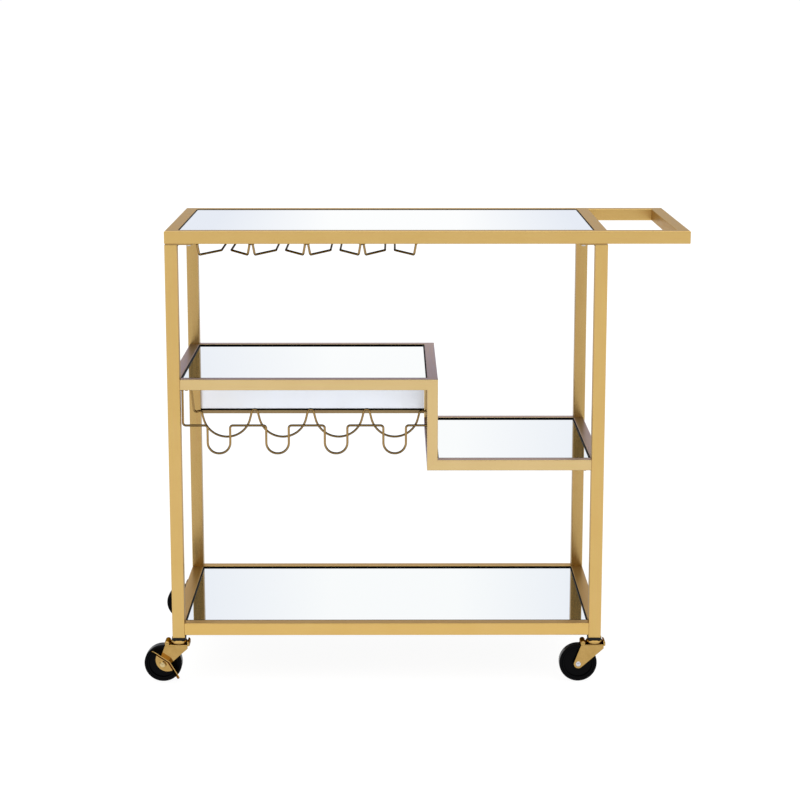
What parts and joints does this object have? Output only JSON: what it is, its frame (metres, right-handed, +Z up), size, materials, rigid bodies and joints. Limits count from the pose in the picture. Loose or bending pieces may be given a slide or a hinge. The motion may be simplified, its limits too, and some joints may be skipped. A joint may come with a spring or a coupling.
{
  "type": "service cart",
  "caption": "Rolling service cart of gold square tube with mirror shelves, a stepped middle shelf, bottle and stemware racks, a push handle and swivel casters.",
  "frame": {"origin": "centre of the bounding box on the floor, under the wheels", "axes": "+X towards the push handle, +Y from the front to the rear panel, +Z up"},
  "size_m": [0.966, 0.4284, 0.816],
  "materials": {
    "gold_tube": "satin brass-gold plating on steel tube",
    "gold_wire": "brass-gold plating on round steel wire",
    "mirror_glass": "silvered float glass with polished edges",
    "frosted_glass": "pale frosted glass",
    "black_socket": "moulded black plastic",
    "black_wheel": "moulded black nylon, glossy",
    "bright_rivet": "bright zinc-plated rivet",
    "gold_caster": "polished brass-gold plating on pressed steel",
    "dark_screw": "brass-gold plated screw",
    "bare_steel": "bare steel"
  },
  "bodies": {
    "cart_frame": {"bottle_body_wire": "gold_wire", "bottle_neck_wire": "gold_wire", "bottom_mirror": "mirror_glass", "bottom_rail_front": "gold_tube", "bottom_rail_left": "gold_tube", "bottom_rail_rear": "gold_tube", "bottom_rail_right": "gold_tube", "handle_bar": "gold_tube", "lower_mirror": "mirror_glass", "post_front_left": "gold_tube", "post_front_right": "gold_tube", "post_rear_left": "gold_tube", "post_rear_right": "gold_tube", "post_top_tabs": "gold_tube", "rear_channel": "gold_tube", "rear_panel": "frosted_glass", "socket_front_left": "black_socket", "socket_front_right": "black_socket", "socket_rear_left": "black_socket", "socket_rear_right": "black_socket", "stem_guide_1": "gold_wire", "stem_guide_2": "gold_wire", "stem_guide_3": "gold_wire", "stem_guide_4": "gold_wire", "step_cross_bar_lower": "gold_tube", "step_cross_bar_upper": "gold_tube", "step_leg_front": "gold_tube", "step_leg_rear": "gold_tube", "step_lower_rail_front": "gold_tube", "step_lower_rail_rear": "gold_tube", "step_rail_screws": "dark_screw", "step_rail_tongues": "bare_steel", "step_side_rail_left": "gold_tube", "step_side_rail_right": "gold_tube", "step_upper_rail_front": "gold_tube", "step_upper_rail_rear": "gold_tube", "swivel_stem_front_left": "gold_caster", "swivel_stem_front_right": "gold_caster", "swivel_stem_rear_left": "gold_caster", "swivel_stem_rear_right": "gold_caster", "top_cross_rail": "gold_tube", "top_mirror": "mirror_glass", "top_rail_front": "gold_tube", "top_rail_left": "gold_tube", "top_rail_rear": "gold_tube", "upper_mirror": "mirror_glass"},
    "caster_front_left": {"fork_front_left": "gold_caster", "axle_front_left": "bright_rivet"},
    "roller_front_left": {"wheel_front_left": "black_wheel"},
    "brake_front_left": {"brake_lever_front_left": "gold_caster"},
    "caster_rear_left": {"fork_rear_left": "gold_caster", "axle_rear_left": "bright_rivet"},
    "roller_rear_left": {"wheel_rear_left": "black_wheel"},
    "brake_rear_left": {"brake_lever_rear_left": "gold_caster"},
    "caster_front_right": {"fork_front_right": "gold_caster", "axle_front_right": "bright_rivet"},
    "roller_front_right": {"wheel_front_right": "black_wheel"},
    "caster_rear_right": {"fork_rear_right": "gold_caster", "axle_rear_right": "bright_rivet"},
    "roller_rear_right": {"wheel_rear_right": "black_wheel"}
  },
  "joints": [
    {"name": "front_left_swivel", "type": "hinge", "parent": "cart_frame", "child": "caster_front_left", "pos_m": [-0.42, -0.1869, 0.0703], "axis": [0, 0, 1], "continuous": true},
    {"name": "front_left_wheel_spin", "type": "hinge", "parent": "caster_front_left", "child": "roller_front_left", "pos_m": [-0.449, -0.1869, 0.034], "axis": [0, 1, 0], "continuous": true},
    {"name": "front_left_brake", "type": "hinge", "parent": "caster_front_left", "child": "brake_front_left", "pos_m": [-0.449, -0.1869, 0.034], "axis": [0, -1, 0], "range_deg": [0, 25]},
    {"name": "rear_left_swivel", "type": "hinge", "parent": "cart_frame", "child": "caster_rear_left", "pos_m": [-0.42, 0.1971, 0.0703], "axis": [0, 0, 1], "continuous": true},
    {"name": "rear_left_wheel_spin", "type": "hinge", "parent": "caster_rear_left", "child": "roller_rear_left", "pos_m": [-0.449, 0.1971, 0.034], "axis": [0, 1, 0], "continuous": true},
    {"name": "rear_left_brake", "type": "hinge", "parent": "caster_rear_left", "child": "brake_rear_left", "pos_m": [-0.449, 0.1971, 0.034], "axis": [0, -1, 0], "range_deg": [0, 25]},
    {"name": "front_right_swivel", "type": "hinge", "parent": "cart_frame", "child": "caster_front_right", "pos_m": [0.329, -0.1869, 0.0703], "axis": [0, 0, 1], "continuous": true},
    {"name": "front_right_wheel_spin", "type": "hinge", "parent": "caster_front_right", "child": "roller_front_right", "pos_m": [0.3, -0.1869, 0.034], "axis": [0, 1, 0], "continuous": true},
    {"name": "rear_right_swivel", "type": "hinge", "parent": "cart_frame", "child": "caster_rear_right", "pos_m": [0.329, 0.1971, 0.0703], "axis": [0, 0, 1], "continuous": true},
    {"name": "rear_right_wheel_spin", "type": "hinge", "parent": "caster_rear_right", "child": "roller_rear_right", "pos_m": [0.3, 0.1971, 0.034], "axis": [0, 1, 0], "continuous": true}
  ]
}
